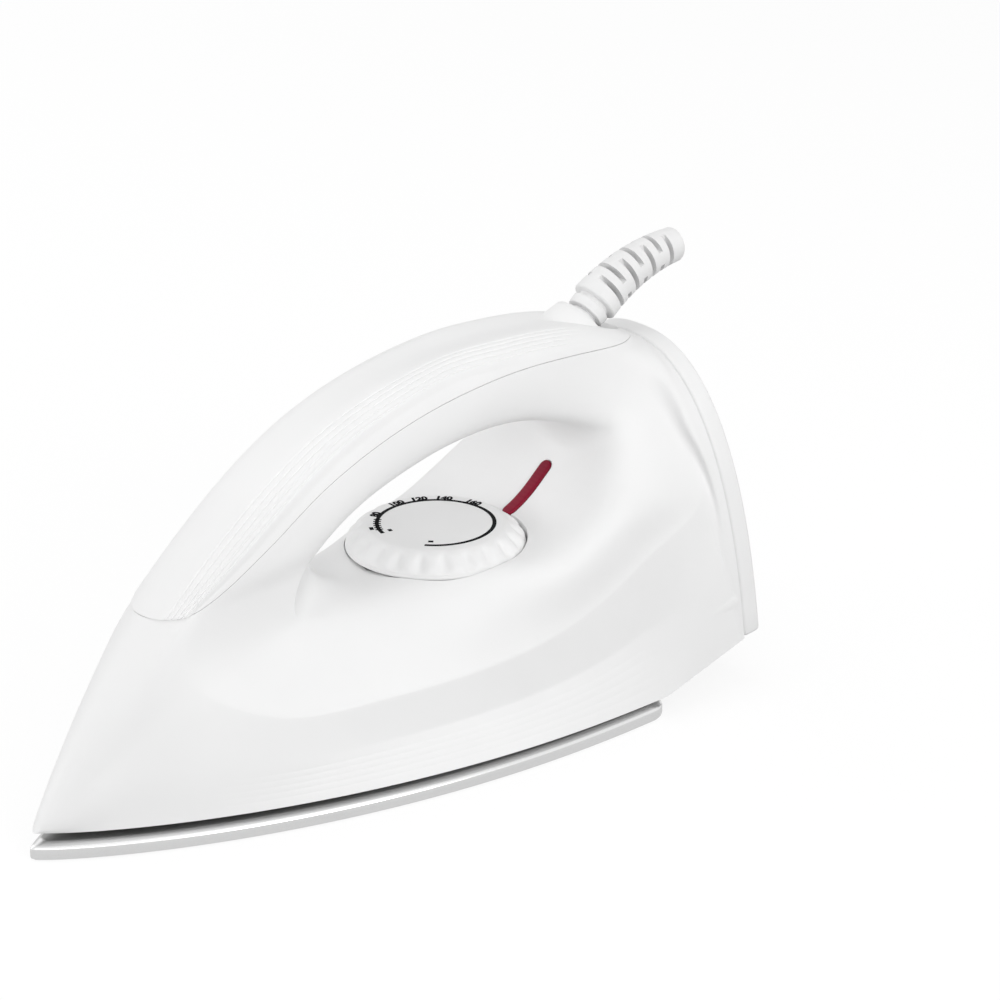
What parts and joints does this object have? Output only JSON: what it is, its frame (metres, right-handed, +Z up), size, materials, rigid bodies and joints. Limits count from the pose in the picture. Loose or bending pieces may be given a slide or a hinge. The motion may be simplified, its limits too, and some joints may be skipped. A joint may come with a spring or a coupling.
{
  "type": "waxing iron",
  "caption": "Compact dry iron with a smooth metal soleplate, white shell with a looped handle, turning heat dial, red pilot lens and a cord guard on a ball.",
  "frame": {"origin": "under the middle of the iron's box, on the ironing face", "axes": "+X towards the nose, +Y to the left side, +Z up from the ironing face"},
  "size_m": [0.2367, 0.0938, 0.1358],
  "materials": {
    "white_plastic": "moulded, satin gloss",
    "dial_plastic": "moulded, with printed marks",
    "guard_rubber": "soft moulded",
    "red_lens": "clear red, polished",
    "polished_aluminium": "polished face, cast inside",
    "plate_grey": "bare satin plate",
    "steel": "plated",
    "brass": "plain",
    "ceramic": "unglazed",
    "black_plastic": "moulded",
    "lamp_glass": "clear",
    "brown_lead": "sleeved",
    "blue_lead": "sleeved",
    "green_lead": "sleeved"
  },
  "bodies": {
    "iron": {"soleplate": "polished_aluminium", "housing": "white_plastic", "handle_cap": "white_plastic", "heel_plate": "white_plastic", "rating_plate": "plate_grey", "pilot_lens": "red_lens", "spindle_bush": "brass", "heating_element": "steel", "element_pin_left": "steel", "element_pin_right": "steel", "heat_shield": "steel", "thermostat_base": "steel", "thermostat_frame": "steel", "thermostat_rivet": "steel", "bimetal_blade": "brass", "lower_contact_blade": "brass", "upper_contact_blade": "brass", "ceramic_spacer_lower": "ceramic", "ceramic_spacer_middle": "ceramic", "ceramic_spacer_upper": "ceramic", "thermal_fuse": "ceramic", "pilot_lamp": "lamp_glass", "terminal_block": "black_plastic", "cord_clamp": "black_plastic", "live_lead": "brown_lead", "link_lead": "brown_lead", "neutral_lead": "blue_lead", "fuse_lead": "blue_lead", "earth_lead": "green_lead", "earth_tab": "brass", "housing_screw_front": "steel", "housing_screw_left": "steel", "housing_screw_right": "steel", "heel_screw_top": "steel", "heel_screw_left": "steel", "heel_screw_right": "steel", "clamp_screw_left": "steel", "clamp_screw_right": "steel"},
    "heat_dial": {"dial": "dial_plastic", "dial_spindle": "steel"},
    "guard": {"cord_guard": "guard_rubber"}
  },
  "joints": [
    {"name": "dial_turn", "type": "hinge", "parent": "iron", "child": "heat_dial", "pos_m": [-0.0245, 0, 0.063], "axis": [0, 0, 1], "range_deg": [-300, 0]},
    {"name": "guard_tilt", "type": "hinge", "parent": "iron", "child": "guard", "pos_m": [-0.0778, 0, 0.1123], "axis": [0, 1, 0], "range_deg": [-5, 16]}
  ]
}
